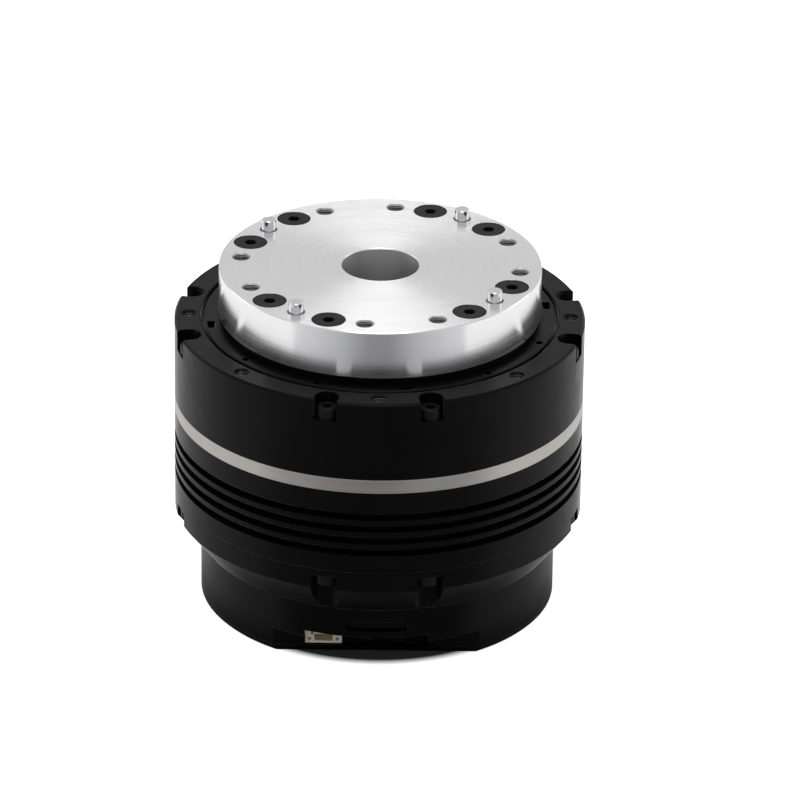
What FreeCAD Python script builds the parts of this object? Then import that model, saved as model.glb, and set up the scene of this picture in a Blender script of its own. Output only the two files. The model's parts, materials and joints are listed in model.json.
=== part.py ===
import FreeCAD, Part
import math
import os
from FreeCAD import Placement, Rotation, Vector

# Robot joint actuator: a brushless motor, a one-stage planetary gear and a crossed-roller output
# bearing in one round body. Millimetres, +Z is the output axis, the origin is the centre of the
# face that the actuator rests on. Angles are counter-clockwise seen from above, from +X.

# ---------------------------------------------------------------- driving dimensions
# fits and gaps that several pieces share
running_gap = 0.03        # radial play of a plain bearing
side_gap = 0.05           # play of a planet between its thrust washers
slip_gap = 0.1            # loose piece in its seat
part_gap = 0.3            # between pieces that turn past each other

# outer body
body_r = 56.0
edge_chamfer = 0.6
housing_wall = 6.0        # motor housing, outside the stator
screw_inset = 3.0         # M3 screws that clamp the body together, from its outside
screw_spread = 15.0       # angle of each screw from the four main directions

# output flange
output_turn = 9.0         # angle of the output at rest
flange_overhang = 1.4     # past the boss under it
flange_t = 13.6
flange_chamfer = 0.25
bore_r = 10.5
spigot_h = 2.0
spigot_t = 5.0
hole_inset = 3.4          # hole circle of the flange, inside the hub's journal
csk_offset = 15.0         # countersunk screws either side of each pin
tap_offset = 30.0         # tapped holes either side of each pin
m5_tap_r = 2.1
m5_tap_depth = 11.0
m5_mouth_r = 2.5          # chamfered mouths of the tapped holes and of the pins' holes
m5_r = 2.5
m5_hex = 3.0
m5_head_r = 4.6
m5_head_h = 2.9
m5_length = 20.0
m5_recess = 0.05          # countersunk heads lie this far under the face
pin_r = 2.0
pin_length = 20.0
pin_stand = 3.0           # pins stand out of the flange

# output hub
boss_step = 1.0           # boss past the journal
boss_h = 1.6
ring_inset = 0.5          # rim of the rotating ring, inside the bearing's outside
ring_t = 1.4
ring_chamfer = 0.3
ring_hole_r = 1.0
ring_hole_inset = 1.8
ring_hole_count = 12
ring_slot_count = 4       # slots, in the places of as many of the holes
ring_slot_w = 2.2         # across the ring
ring_slot_length = 4.4    # along the ring
shoulder_step = 1.7       # shoulder over the inner race
hub_wall = 7.1            # from the hole circle to the pocket
hub_floor_t = 6.4
hub_foot_h = 1.0          # under the circlip
circlip_t = 1.0
circlip_depth = 1.0
circlip_stand = 1.9
circlip_gap_angle = 20.0
column_r = 6.5
column_gap = 1.5          # between a column and the ring gear's teeth

# crossed-roller output bearing
bearing_wall = 7.5        # front housing, outside the bearing
bearing_w = 7.0
race_gap = 0.8
inner_race_t = 3.1
outer_race_t = 3.1
roller_d = 3.0
roller_count = 30
roller_play = 0.03
roller_end_play = 0.08
roller_cage_t = 0.4
roller_cage_inset = 0.5
roller_pocket_gap = 0.08

# front housing
lip_t = 1.0
lip_step = 0.2            # lip's edge past the outer race's
seal_t = 0.75
m4_inset = 4.0            # from the outside of the body
m4_count = 8
m4_tap_r = 1.65
m4_tap_depth = 8.0
m4_mouth_r = 2.2
mouth_gap = 0.9           # around the rotating ring
mouth_chamfer = 0.3
m4_r = 2.0
notch_w = 6.7
notch_depth = 5.7
m3_r = 1.5
m3_clear_r = 1.6
m3_head_r = 2.75
m3_head_h = 3.0
m3_hex = 2.5
front_screw_length = 25.0
rear_screw_length = 6.0
thread_gap = 0.8          # drilled depth past a screw's tip

# gears
ring_gear_wall = 5.25     # behind the roots of the ring gear
pressure_angle = 25.0
sun_teeth = 12
planet_teeth = 36
planet_count = 3
tooth_thinning = 0.05     # taken off each flank, for backlash
planet_w = 11.1
planet_recess = 2.5
planet_rim_t = 2.6
planet_hub_t = 2.5        # around the bush
bush_t = 1.0
planet_pin_r = 4.97
planet_pin_seat = 5.0
washer_t = 0.5
gear_flange_t = 3.9
gear_relief = 0.4
carrier_inset = 1.45      # inside the roots of the ring gear
carrier_t = 3.0
carrier_hole_gap = 2.0    # around the nose of the rotor shaft
carrier_pocket = 1.1      # depth that the carrier sinks into the motor housing
carrier_gap = 0.6
carrier_room = 1.3        # around the carrier in the motor housing
m4_head_r = 3.8
m4_head_h = 2.2
m4_hex = 2.5
carrier_screw_length = 12.0

# motor
stator_depth = 10.8       # from the outside of the stator to its bore
stack_h = 14.8
back_iron_t = 3.4
slot_count = 24
tooth_w = 5.2
tooth_tip_t = 1.5
slot_opening = 1.8
coil_t = 2.05             # over the ends of the teeth
coil_gap = 1.2            # between neighbouring coils, at their inner ends
coil_insulation = 0.15
winding_ledge = 2.5       # holds the stator's edge
winding_gap = 1.0         # between the windings and the webs
air_gap = 0.6
magnet_t = 2.2
magnet_count = 28
magnet_span = 0.86        # share of the pole pitch
yoke_t = 3.4
rotor_web_t = 4.0
rotor_boss_t = 4.0
rotor_boss_h = 12.0
rotor_hole_r = 6.0
rotor_hole_count = 6

# rotor shaft and its two ball bearings
shaft_step = 1.3          # shoulder for the inner race
nose_wall = 1.8
nose_h = 2.4
tail_r = 3.0
stem_step = 0.55          # stem under the roots of the sun gear
stem_depth = 12.0
ball_bearing_bore_r = 7.5
ball_bearing_t = 4.5      # from its bore to its outside
ball_bearing_w = 5.0
ball_r = 1.4
ball_count = 10
ball_play = 0.05
ball_race_t = 1.4
ball_cage_t = 1.3
ball_cage_w = 3.8
bearing_boss_t = 3.0
bearing_lip_t = 0.8
bearing_lip_step = 1.5
rear_lip_t = 1.4
wave_washer_t = 0.6

# motor housing
web_t = 3.8
lower_band_h = 5.1
upper_band_h = 6.15
fin_t = 1.43
groove_count = 4
groove_depth = 3.0
register_h = 1.1

# end bell
bell_band_h = 5.7
bell_web_t = 3.5
bell_heel = 3.0           # slope between the web and the wall
rear_notch_w = 7.5
rear_notch_floor = 2.0
coil_to_bell_web = 10.3

# rear cover, lid and connectors
cover_r = 48.8
cover_h = 17.0
cover_wall = 2.5
cover_top_t = 2.5
cover_opening_step = 4.0  # inside the board posts' circle
flat_cut = 9.0            # depth of the front flat
flat_wall = 1.8
flat_h = 6.7
ledge_t = 1.5
bay_left = -19.5
bay_right = 14.1
bay_top = 8.6
lid_t = 1.5
lid_post_r = 2.6
lid_post_inset = 2.7      # from the cover's bore
lid_post_angles = (-45, 0, 45, 135, 180, 225)
m25_r = 1.25
m25_hex = 1.5
m25_head_r = 2.3
m25_head_h = 1.2
lid_screw_length = 8.0
cover_screw_count = 8
cover_screw_inset = 3.8   # from the cover's bore
cover_screw_length = 5.0
window_w = 17.0
window_h = 2.9
window_rise = 1.75        # above the bay
window_inset = 1.2        # face of the lens, inside the cover's outside
lens_gap = 0.35           # around the lens
lens_depth = 1.2

# driver board and what it carries
board_gap = 0.9           # between the board and the cover's bore
board_t = 1.6
board_post_r = 2.4
board_post_count = 4
board_post_inset = 6.5    # inside the cover screws' circle
board_screw_length = 6.0
board_screw_head_r = 2.2
board_screw_head_h = 1.5
signal_w = 10.05
signal_h = 4.35
signal_depth = 7.3
signal_cavity_gap = 0.425 # beside the outer pins
signal_cavity_h = 2.0
signal_cavity_depth = 5.0
signal_cavity_drop = 0.5  # middle of the cavity, under the middle of the shell
signal_ear_hole_r = 0.5
signal_ear_hole_depth = 1.5
signal_ear_hole_drop = 0.95
signal_notch_w = 0.6      # notches in the top, beside the cavity
signal_notch_h = 1.8
signal_notch_gap = 0.3
signal_pin_count = 4
signal_pin_pitch = 1.25
signal_pin_t = 0.4
signal_pin_inset = 1.0
connector_space = 0.65    # between the two connectors
power_side_gap = 1.3
power_depth = 11.0
power_socket_count = 2
power_socket_pitch = 9.0
power_socket_r = 1.55
power_contact_r = 1.0
power_contact_inset = 3.0
power_socket_depth = 7.5
connector_setback = 1.0   # behind the front flat
connector_gap = 0.15
transistor_size = (5.0, 6.0, 1.0)
transistor_inset = 6.0    # inside the cover's opening
transistor_count = 12
capacitor_r = 3.1
capacitor_h = 5.5
capacitor_step = 9.5      # inside the transistors' circle
capacitor_count = 6
controller_size = (7.0, 7.0, 1.0)
controller_step = 9.4     # inside the leads' circle
encoder_chip_size = (4.0, 4.0, 1.0)
magnet_disc_r = 4.0
magnet_disc_h = 2.5
magnet_disc_gap = 1.2
holder_wall = 1.2
holder_floor = 1.2
holder_grip = 2.9
lead_r = 0.9
lead_cover_inset = 2.7    # from the cover's bore
lead_bell_inset = 3.9     # from the bore around the windings
lead_angles = (75, 90, 105)
grommet_wall = 1.0

# ---------------------------------------------------------------- sizes that follow from them
stator_r = body_r - housing_wall
stator_bore_r = stator_r - stator_depth
winding_bore_r = stator_r - winding_ledge
screw_circle_r = body_r - screw_inset
m4_circle_r = body_r - m4_inset
magnet_r = stator_bore_r - air_gap
yoke_r = magnet_r - magnet_t
rotor_hub_r = yoke_r - yoke_t

# output bearing, from its outside inwards, and the hub and flange that it carries
bearing_r = body_r - bearing_wall
race_outer_r = bearing_r - outer_race_t
race_inner_r = race_outer_r - race_gap
journal_r = race_inner_r - inner_race_t
roller_circle_r = (race_inner_r + race_outer_r) / 2
lip_r = race_outer_r + lip_step
ring_r = bearing_r - ring_inset
ring_hole_circle_r = ring_r - ring_hole_inset
shoulder_r = journal_r + shoulder_step
boss_r = journal_r + boss_step
flange_r = boss_r + flange_overhang
hole_circle_r = journal_r - hole_inset
pocket_r = hole_circle_r - hub_wall

# gears: the module is as large as the ring gear leaves room for
dedendum_share = 1.25
ring_teeth = sun_teeth + 2 * planet_teeth
ring_root_r = bearing_r - ring_gear_wall
gear_module = ring_root_r / (ring_teeth / 2 + dedendum_share)
addendum = gear_module
dedendum = dedendum_share * gear_module
sun_pitch_r = gear_module * sun_teeth / 2
planet_pitch_r = gear_module * planet_teeth / 2
ring_pitch_r = gear_module * ring_teeth / 2
planet_circle_r = sun_pitch_r + planet_pitch_r
bush_bore_r = planet_pin_r + running_gap
bush_r = bush_bore_r + bush_t
planet_hub_r = bush_r + planet_hub_t
carrier_r = ring_root_r - carrier_inset
column_circle_r = ring_pitch_r - addendum - column_gap - column_r

# rotor shaft
stem_r = sun_pitch_r - dedendum - stem_step
nose_r = stem_r + nose_wall
carrier_hole_r = nose_r + carrier_hole_gap
ball_bearing_r = ball_bearing_bore_r + ball_bearing_t
ball_circle_r = ball_bearing_bore_r + ball_bearing_t / 2
bearing_lip_r = ball_bearing_r - bearing_lip_step
shaft_r = ball_bearing_bore_r + shaft_step
rotor_boss_r = shaft_r + rotor_boss_t
holder_r = magnet_disc_r + holder_wall

# rear cover and what it holds
cover_bore_r = cover_r - cover_wall
flat_y = cover_r - flat_cut          # distance of the front flat from the axis
lid_post_circle_r = cover_bore_r - lid_post_inset
cover_screw_circle_r = cover_bore_r - cover_screw_inset
board_r = cover_bore_r - board_gap
board_post_circle_r = cover_screw_circle_r - board_post_inset
cover_opening_r = board_post_circle_r - cover_opening_step
transistor_circle_r = cover_opening_r - transistor_inset
capacitor_circle_r = transistor_circle_r - capacitor_step
connector_face_y = flat_y - connector_setback
lead_circle_r = min(cover_bore_r - lead_cover_inset, winding_bore_r - lead_bell_inset)
controller_y = lead_circle_r - controller_step
signal_left = bay_left + slip_gap
power_left = signal_left + signal_w + connector_space
power_w = bay_right - power_side_gap - power_left
signal_cavity_w = (
    (signal_pin_count - 1) * signal_pin_pitch + signal_pin_t + 2 * signal_cavity_gap)

# heights, from the rest face upwards
board_z = lid_t + connector_gap + signal_h
board_top = board_z + board_t
bell_z = cover_h
bell_web_top = bell_z + bell_web_t
coil_end_t = coil_insulation + coil_t
motor_z = bell_web_top + coil_to_bell_web + coil_end_t - register_h
stator_z = motor_z + register_h
stator_top = stator_z + stack_h
coil_bottom = stator_z - coil_end_t
coil_top = stator_top + coil_end_t
web_z = coil_top + winding_gap
web_top = web_z + web_t
gear_z = web_top + carrier_pocket
front_z = gear_z + gear_flange_t
carrier_z = web_top + carrier_gap
carrier_top = carrier_z + carrier_t
planet_z = carrier_top + washer_t + side_gap
planet_top = planet_z + planet_w
hub_z = planet_top + side_gap + washer_t
circlip_z = hub_z + hub_foot_h
bearing_z = circlip_z + circlip_t
bearing_top = bearing_z + bearing_w
lip_top = bearing_top + lip_t
ring_z = lip_top + part_gap
ring_top = ring_z + ring_t
flange_z = ring_top + boss_h
flange_top = flange_z + flange_t
notch_z = ring_top - notch_depth
front_tip_z = notch_z - front_screw_length
rear_ceiling_z = motor_z - rear_notch_floor
band_z = motor_z - bell_band_h

# coils, inside the slots
coil_inner_r = stator_bore_r + tooth_tip_t + part_gap
coil_outer_r = stator_r - back_iron_t - 2 * part_gap
coil_circle_r = (coil_inner_r + coil_outer_r) / 2
coil_inside_w = tooth_w + 2 * coil_insulation
coil_w = 2 * coil_inner_r * math.tan(math.pi / slot_count) - coil_gap

# places around the axis
main_directions = [0, 90, 180, 270]
screw_angles = [a + s for a in main_directions for s in (-screw_spread, screw_spread)]
pin_angles = [45 + output_turn + a for a in main_directions]
csk_angles = [a + s for a in pin_angles for s in (-csk_offset, csk_offset)]
tap_angles = [a + s for a in pin_angles for s in (-tap_offset, tap_offset)]
planet_angles = [output_turn + 360 * k / planet_count for k in range(planet_count)]
column_angles = [a + 180 / planet_count for a in planet_angles]

# the two ball bearings and the encoder under the rear one
front_ball_z = web_top - bearing_lip_t - ball_bearing_w
rear_ball_z = bell_z + rear_lip_t + wave_washer_t
encoder_magnet_z = board_top + encoder_chip_size[2] + magnet_disc_gap
tail_z = encoder_magnet_z + magnet_disc_h + holder_floor


# ---------------------------------------------------------------- helpers
def even_angles(count, start=0.0):
    return [start + 360 * k / count for k in range(count)]


def at(r, angle, z=0.0):
    a = math.radians(angle)
    return Vector(r * math.cos(a), r * math.sin(a), z)


def disc(r, z0, z1):
    return Part.makeCylinder(r, z1 - z0, Vector(0, 0, z0))


def tube(r_out, r_in, z0, z1):
    return disc(r_out, z0, z1).cut(disc(r_in, z0, z1))


def block(x0, x1, y0, y1, z0, z1):
    return Part.makeBox(x1 - x0, y1 - y0, z1 - z0, Vector(x0, y0, z0))


def turned(points):
    """Solid of revolution about Z of a closed outline of (radius, height) points."""
    corners = [Vector(r, 0, z) for r, z in points]
    face = Part.Face(Part.makePolygon(corners + corners[:1]))
    return face.revolve(Vector(0, 0, 0), Vector(0, 0, 1), 360)


def rods(r, circle_r, angles, z0, z1):
    """Cylinders parallel to Z on a circle."""
    return [Part.makeCylinder(r, z1 - z0, at(circle_r, a, z0)) for a in angles]


def around(shape, angles):
    """Copies of a shape turned about Z."""
    copies = []
    for angle in angles:
        copy = shape.copy()
        copy.rotate(Vector(0, 0, 0), Vector(0, 0, 1), angle)
        copies.append(copy)
    return copies


def moved(shape, place):
    copy = shape.copy()
    copy.translate(place)
    return copy


def arc_plate(r_out, r_in, half_angle, z0, z1):
    """Sector of a tube, centred on +X."""
    wedge = turned([(r_in, z0), (r_out, z0), (r_out, z1), (r_in, z1)])
    reach = 2 * r_out
    keep = Part.Face(Part.makePolygon([
        Vector(0, 0, z0), at(reach, -half_angle, z0), at(reach, half_angle, z0), Vector(0, 0, z0)]))
    return wedge.common(keep.extrude(Vector(0, 0, z1 - z0)))


def slot_shape(width, height, depth):
    """Rounded slot, width along X and height along Z, that runs back from y = 0."""
    r = height / 2
    half = width / 2 - r
    top = Part.makeLine(Vector(-half, 0, r), Vector(half, 0, r))
    right = Part.Arc(Vector(half, 0, r), Vector(half + r, 0, 0), Vector(half, 0, -r)).toShape()
    bottom = Part.makeLine(Vector(half, 0, -r), Vector(-half, 0, -r))
    left = Part.Arc(Vector(-half, 0, -r), Vector(-half - r, 0, 0), Vector(-half, 0, r)).toShape()
    return Part.Face(Part.Wire([top, right, bottom, left])).extrude(Vector(0, depth, 0))


def edge_notch(width, centre_r, reach_r, z0, z1):
    """U-shaped notch on +X: round at its inner end, open outwards."""
    half = width / 2
    return Part.makeCylinder(half, z1 - z0, Vector(centre_r, 0, z0)).fuse(
        block(centre_r, reach_r, -half, half, z0, z1))


def hex_socket(across, depth, z_top):
    """Hexagonal prism that goes down from z_top."""
    corner_r = across / math.sqrt(3)
    corners = [at(corner_r, a, z_top - depth) for a in even_angles(6)]
    return Part.Face(Part.makePolygon(corners + corners[:1])).extrude(Vector(0, 0, depth))


def socket_screw(r, length, head_r, head_h, hex_across):
    """Cap screw along Z: the seat of its head at z = 0, its tip below."""
    bevel = head_h / 10
    body = turned([
        (0, -length), (r * 0.8, -length), (r, r * 0.4 - length), (r, 0), (head_r, 0),
        (head_r, head_h - bevel), (head_r - bevel, head_h), (0, head_h)])
    return body.cut(hex_socket(hex_across, head_h * 0.55, head_h))


def flat_screw(r, length, head_r, head_h, hex_across):
    """Countersunk screw along Z: its head's face at z = 0, its tip below."""
    rim = head_h - (head_r - r)
    bevel = rim / 2
    body = turned([
        (0, -length), (r * 0.8, -length), (r, r * 0.4 - length), (r, -head_h),
        (head_r, -rim), (head_r, -bevel), (head_r - bevel, 0), (0, 0)])
    return body.cut(hex_socket(hex_across, head_h * 0.6, 0))


def flat_seat(r, head_r, head_h, recess, depth):
    """Countersunk hole for flat_screw, with its mouth at z = 0."""
    rim = head_h - (head_r - r)
    return turned([
        (0, -depth), (r, -depth), (r, -recess - head_h), (head_r, -recess - rim),
        (head_r, 0), (0, 0)])


def chamfered_hole(r, mouth_r, depth):
    """Round hole with a chamfered mouth at z = 0."""
    return turned([(0, -depth), (r, -depth), (r, r - mouth_r), (mouth_r, 0), (0, 0)])


def upside_down(shape):
    copy = shape.copy()
    copy.rotate(Vector(0, 0, 0), Vector(1, 0, 0), 180)
    return copy


def group(solids):
    return Part.makeCompound(solids)


parts = {}


# ---------------------------------------------------------------- rear lid and rear cover
def front_cut(y, z0, z1):
    """Everything in front of the flat at distance y from the axis."""
    reach = 2 * body_r
    return block(-reach, reach, -reach, -y, z0, z1)


def make_rear_lid():
    lid = turned([
        (0, 0), (cover_r - edge_chamfer, 0), (cover_r, edge_chamfer), (cover_r, lid_t), (0, lid_t)])
    lid = lid.cut(front_cut(flat_y, 0, lid_t))
    seat = upside_down(flat_seat(m25_r, m25_head_r, m25_head_h, slip_gap, lid_t))
    return lid.cut([moved(seat, at(lid_post_circle_r, a)) for a in lid_post_angles])


def make_lid_screws():
    screw = upside_down(flat_screw(m25_r, lid_screw_length, m25_head_r, m25_head_h, m25_hex))
    return group([moved(screw, at(lid_post_circle_r, a, slip_gap)) for a in lid_post_angles])


def cover_screw_angles():
    return even_angles(cover_screw_count, 180 / cover_screw_count)


def board_post_angles():
    return even_angles(board_post_count, 180 / board_post_count)


def make_rear_cover():
    cover = disc(cover_r, lid_t, cover_h).cut(front_cut(flat_y, lid_t, flat_h))
    plate_z = cover_h - cover_top_t
    ledge_z = flat_h + ledge_t
    upper = disc(cover_bore_r, ledge_z, plate_z)
    lower = disc(cover_bore_r, lid_t, ledge_z).cut(front_cut(flat_y - flat_wall, lid_t, ledge_z))
    cover = cover.cut([upper, lower, disc(cover_opening_r, plate_z, cover_h)])
    posts = rods(lid_post_r, lid_post_circle_r, lid_post_angles, lid_t, plate_z)
    posts += rods(board_post_r, board_post_circle_r, board_post_angles(), board_top, plate_z)
    posts = [post.common(disc(cover_r - cover_wall / 2, 0, cover_h)) for post in posts]
    cover = cover.fuse(posts).removeSplitter()
    lid_tap_top = lid_screw_length + thread_gap
    board_tap_top = board_z + board_screw_length + thread_gap
    cuts = rods(m25_r, lid_post_circle_r, lid_post_angles, lid_t, lid_tap_top)
    cuts += rods(m25_r, board_post_circle_r, board_post_angles(), board_top, board_tap_top)
    cuts += rods(m3_clear_r, cover_screw_circle_r, cover_screw_angles(), plate_z, cover_h)
    cuts += rods(lead_r + grommet_wall, lead_circle_r, lead_angles, plate_z, cover_h)
    cuts.append(block(bay_left, bay_right, -cover_r, flat_wall + slip_gap - flat_y, lid_t, bay_top))
    cuts.append(moved(slot_shape(window_w, window_h, 2 * cover_wall), Vector(0, -cover_r, window_z())))
    return cover.cut(cuts)


def window_z():
    return bay_top + window_rise + window_h / 2


def make_cover_screws():
    screw = upside_down(socket_screw(m3_r, cover_screw_length, m3_head_r, m3_head_h, m3_hex))
    seat_z = cover_h - cover_top_t
    return group([moved(screw, at(cover_screw_circle_r, a, seat_z)) for a in cover_screw_angles()])


def make_indicator_window():
    """Smoked window whose face follows the round wall."""
    strip = slot_shape(window_w - 2 * lens_gap, window_h - 2 * lens_gap, 2 * cover_wall)
    strip = moved(strip, Vector(0, -cover_r, window_z()))
    face_r = cover_r - window_inset
    return strip.common(tube(face_r, face_r - lens_depth, 0, cover_h))


# ---------------------------------------------------------------- driver board
def make_driver_board():
    board = disc(board_r, board_z, board_top)
    edge_y = flat_y - flat_wall - 2 * slip_gap
    notches = rods(lid_post_r + part_gap, lid_post_circle_r, lid_post_angles, board_z, board_top)
    holes = rods(m25_r + slip_gap, board_post_circle_r, board_post_angles(), board_z, board_top)
    return board.cut([front_cut(edge_y, board_z, board_top)] + notches + holes)


def make_board_screws():
    screw = upside_down(
        socket_screw(m25_r, board_screw_length, board_screw_head_r, board_screw_head_h, m25_hex))
    return group([moved(screw, at(board_post_circle_r, a, board_z)) for a in board_post_angles()])


def chip(size, x, y):
    width, depth, height = size
    return block(x - width / 2, x + width / 2, y - depth / 2, y + depth / 2, board_top, board_top + height)


def make_power_transistors():
    first = 180 / transistor_count
    one = chip(transistor_size, transistor_circle_r, 0)
    return group(around(one, even_angles(transistor_count, first)))


def make_capacitors():
    z1 = board_top + capacitor_h
    return group(rods(capacitor_r, capacitor_circle_r, even_angles(capacitor_count), board_top, z1))


def signal_cavity_z():
    return board_z - signal_h / 2 - signal_cavity_drop


def make_signal_connector():
    z0 = board_z - signal_h
    y0 = -connector_face_y
    middle_x = signal_left + signal_w / 2
    middle_z = z0 + signal_h / 2
    shell = block(signal_left, signal_left + signal_w, y0, y0 + signal_depth, z0, board_z)
    half_w = signal_cavity_w / 2
    cavity = block(middle_x - half_w, middle_x + half_w, y0, y0 + signal_cavity_depth,
                   signal_cavity_z() - signal_cavity_h / 2, signal_cavity_z() + signal_cavity_h / 2)
    ear_x = (signal_w / 2 + half_w) / 2
    notch_x = half_w + signal_notch_gap + signal_notch_w / 2
    cuts = [cavity]
    for side in (-1, 1):
        hole = Vector(middle_x + side * ear_x, y0, middle_z - signal_ear_hole_drop)
        cuts.append(Part.makeCylinder(signal_ear_hole_r, signal_ear_hole_depth, hole, Vector(0, 1, 0)))
        x = middle_x + side * notch_x
        cuts.append(block(x - signal_notch_w / 2, x + signal_notch_w / 2,
                          y0, y0 + signal_ear_hole_depth, board_z - signal_notch_h, board_z))
    return shell.cut(cuts)


def make_signal_pins():
    middle_x = signal_left + signal_w / 2
    half = signal_pin_t / 2
    front_y = signal_pin_inset - connector_face_y
    back_y = signal_cavity_depth - connector_face_y
    pins = []
    for k in range(signal_pin_count):
        x = middle_x + (k - (signal_pin_count - 1) / 2) * signal_pin_pitch
        pins.append(block(x - half, x + half, front_y, back_y,
                          signal_cavity_z() - half, signal_cavity_z() + half))
    return group(pins)


def power_places():
    middle_x = power_left + power_w / 2
    return [
        Vector(middle_x + (k - (power_socket_count - 1) / 2) * power_socket_pitch,
               -connector_face_y, board_z - signal_h / 2)
        for k in range(power_socket_count)]


def make_power_connector():
    y0 = -connector_face_y
    shell = block(power_left, power_left + power_w, y0, y0 + power_depth, board_z - signal_h, board_z)
    sockets = [
        Part.makeCylinder(power_socket_r, power_socket_depth, place, Vector(0, 1, 0))
        for place in power_places()]
    return shell.cut(sockets)


def make_power_contacts():
    length = power_socket_depth - power_contact_inset
    inset = Vector(0, power_contact_inset, 0)
    return group([
        Part.makeCylinder(power_contact_r, length, place + inset, Vector(0, 1, 0))
        for place in power_places()])


# ---------------------------------------------------------------- encoder
def make_encoder_magnet():
    return disc(magnet_disc_r, encoder_magnet_z, encoder_magnet_z + magnet_disc_h)


def make_magnet_holder():
    holder_top = tail_z + holder_grip
    holder = disc(holder_r, encoder_magnet_z, holder_top)
    return holder.cut([make_encoder_magnet(), disc(tail_r, tail_z, holder_top)])


# ---------------------------------------------------------------- end bell and phase leads
def make_end_bell():
    bell = turned([
        (0, bell_z), (cover_r, bell_z), (body_r, band_z), (body_r, motor_z),
        (stator_r, motor_z), (stator_r, stator_z), (winding_bore_r, stator_z),
        (winding_bore_r, band_z), (winding_bore_r - bell_heel, bell_web_top), (0, bell_web_top)])
    bell = bell.fuse(disc(ball_bearing_r + bearing_boss_t, bell_z, rear_ball_z + ball_bearing_w))
    bell = bell.removeSplitter()
    bearing_seat = disc(ball_bearing_r, bell_z + rear_lip_t, rear_ball_z + ball_bearing_w)
    cuts = [bearing_seat, disc(bearing_lip_r, bell_z, bell_z + rear_lip_t)]
    notch = edge_notch(rear_notch_w, screw_circle_r, 2 * body_r, bell_z, rear_ceiling_z)
    cuts += around(notch, screw_angles)
    cuts += rods(m3_clear_r, screw_circle_r, screw_angles, rear_ceiling_z, motor_z)
    cuts += rods(m3_r, cover_screw_circle_r, cover_screw_angles(), bell_z, bell_web_top)
    cuts += rods(lead_r + grommet_wall, lead_circle_r, lead_angles, bell_z, band_z)
    return bell.cut(cuts)


def make_end_bell_screws():
    screw = upside_down(socket_screw(m3_r, rear_screw_length, m3_head_r, m3_head_h, m3_hex))
    return group([moved(screw, at(screw_circle_r, a, rear_ceiling_z)) for a in screw_angles])


def make_phase_leads():
    """Leads that go up from the board through the grommets, then lean over to the coils."""
    leads = []
    for rod, angle in zip(rods(lead_r, lead_circle_r, lead_angles, board_top, bell_web_top), lead_angles):
        ends = [at(lead_circle_r, angle, bell_web_top), at(coil_circle_r, angle, coil_bottom)]
        lean = Part.makeLoft([Part.Wire(Part.makeCircle(lead_r, end)) for end in ends], True)
        leads.append(rod.fuse(lean))
    return group(leads)


def make_lead_grommets():
    z0 = cover_h - cover_top_t
    outer = rods(lead_r + grommet_wall, lead_circle_r, lead_angles, z0, bell_web_top)
    inner = rods(lead_r, lead_circle_r, lead_angles, z0, bell_web_top)
    return group([one.cut(other) for one, other in zip(outer, inner)])


# ---------------------------------------------------------------- ball bearings of the rotor
def ball_groove():
    return Part.makeTorus(ball_circle_r, ball_r + ball_play)


def make_ball_race(r_out, r_in):
    return tube(r_out, r_in, -ball_bearing_w / 2, ball_bearing_w / 2).cut(ball_groove())


def make_balls():
    return group([Part.makeSphere(ball_r, at(ball_circle_r, a)) for a in even_angles(ball_count)])


def make_ball_cage():
    half = ball_cage_w / 2
    cage = tube(ball_circle_r + ball_cage_t / 2, ball_circle_r - ball_cage_t / 2, -half, half)
    pocket_r = ball_r + ball_play
    pockets = [
        Part.makeCylinder(pocket_r, ball_bearing_r, Vector(0, 0, 0), at(1, a))
        for a in even_angles(ball_count)]
    return cage.cut(pockets)


def add_ball_bearing(name, z0):
    middle = Vector(0, 0, z0 + ball_bearing_w / 2)
    outer = make_ball_race(ball_bearing_r, ball_bearing_r - ball_race_t)
    inner = make_ball_race(ball_bearing_bore_r + ball_race_t, ball_bearing_bore_r)
    parts[name + "_outer_race"] = moved(outer, middle)
    parts[name + "_inner_race"] = moved(inner, middle)
    parts[name + "_balls"] = moved(make_balls(), middle)
    parts[name + "_cage"] = moved(make_ball_cage(), middle)


def make_preload_washer():
    z0 = bell_z + rear_lip_t
    return tube(ball_bearing_r, bearing_lip_r, z0, z0 + wave_washer_t)


# ---------------------------------------------------------------- motor housing
def make_motor_housing():
    boss_z = front_ball_z
    pocket_wall_r = carrier_r + carrier_room
    housing = turned([
        (stator_r, motor_z), (body_r, motor_z), (body_r, gear_z), (pocket_wall_r, gear_z),
        (pocket_wall_r, web_top), (bearing_lip_r, web_top), (bearing_lip_r, web_top - bearing_lip_t),
        (ball_bearing_r, web_top - bearing_lip_t), (ball_bearing_r, boss_z),
        (ball_bearing_r + bearing_boss_t, boss_z), (ball_bearing_r + bearing_boss_t, web_z),
        (winding_bore_r, web_z), (winding_bore_r, stator_top), (stator_r, stator_top)])
    free_h = gear_z - motor_z - lower_band_h - upper_band_h - (groove_count - 1) * fin_t
    groove_h = free_h / groove_count
    cuts = []
    for k in range(groove_count):
        z0 = motor_z + lower_band_h + k * (groove_h + fin_t)
        cuts.append(tube(2 * body_r, body_r - groove_depth, z0, z0 + groove_h))
    front_tap_z = front_tip_z - thread_gap
    rear_tap_top = rear_ceiling_z + rear_screw_length + thread_gap / 2
    cuts += rods(m3_r, screw_circle_r, screw_angles, front_tap_z, gear_z)
    cuts += rods(m3_r, screw_circle_r, screw_angles, motor_z, rear_tap_top)
    return housing.cut(cuts)


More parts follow.
